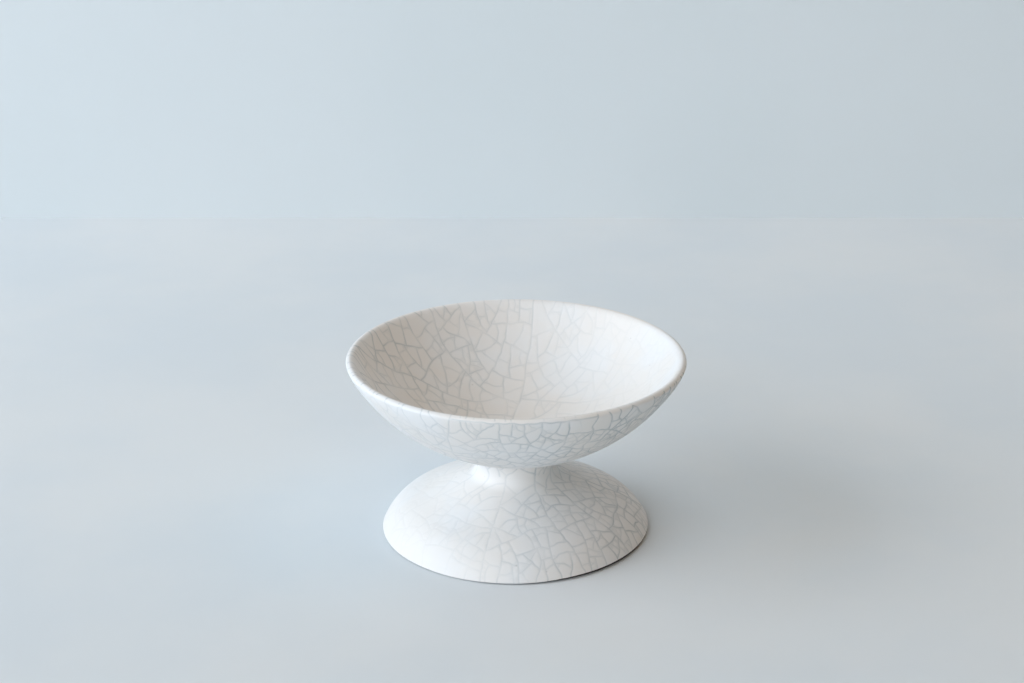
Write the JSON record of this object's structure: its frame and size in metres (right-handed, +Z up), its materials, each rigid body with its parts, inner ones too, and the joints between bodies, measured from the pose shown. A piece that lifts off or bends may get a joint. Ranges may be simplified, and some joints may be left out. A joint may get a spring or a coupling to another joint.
{
  "type": "footed compote bowl",
  "caption": "Shallow round bowl on a low bell-shaped foot with a narrow waist, in white crackle glaze over dark clay, for serving fruit or sweets.",
  "frame": {"origin": "on the table at the centre of the foot ring", "axes": "+Z up along the axis that every piece is turned about; X and Y are level and equal"},
  "size_m": [0.15, 0.15, 0.0818],
  "materials": {
    "dark_clay": "bare fired clay, smoked dark, matte",
    "luting_slip": "fired slip, matte",
    "inside_glaze": "satin white glaze with wide grey crackle",
    "outside_glaze": "satin white glaze with close grey crackle",
    "foot_glaze": "satin white glaze with grey crackle that runs down the slope"
  },
  "bodies": {
    "root": {"bowl": "dark_clay", "pedestal_foot": "dark_clay", "slip_joint": "luting_slip", "inside_glaze": "inside_glaze", "outside_glaze": "outside_glaze", "foot_glaze": "foot_glaze"}
  },
  "joints": []
}
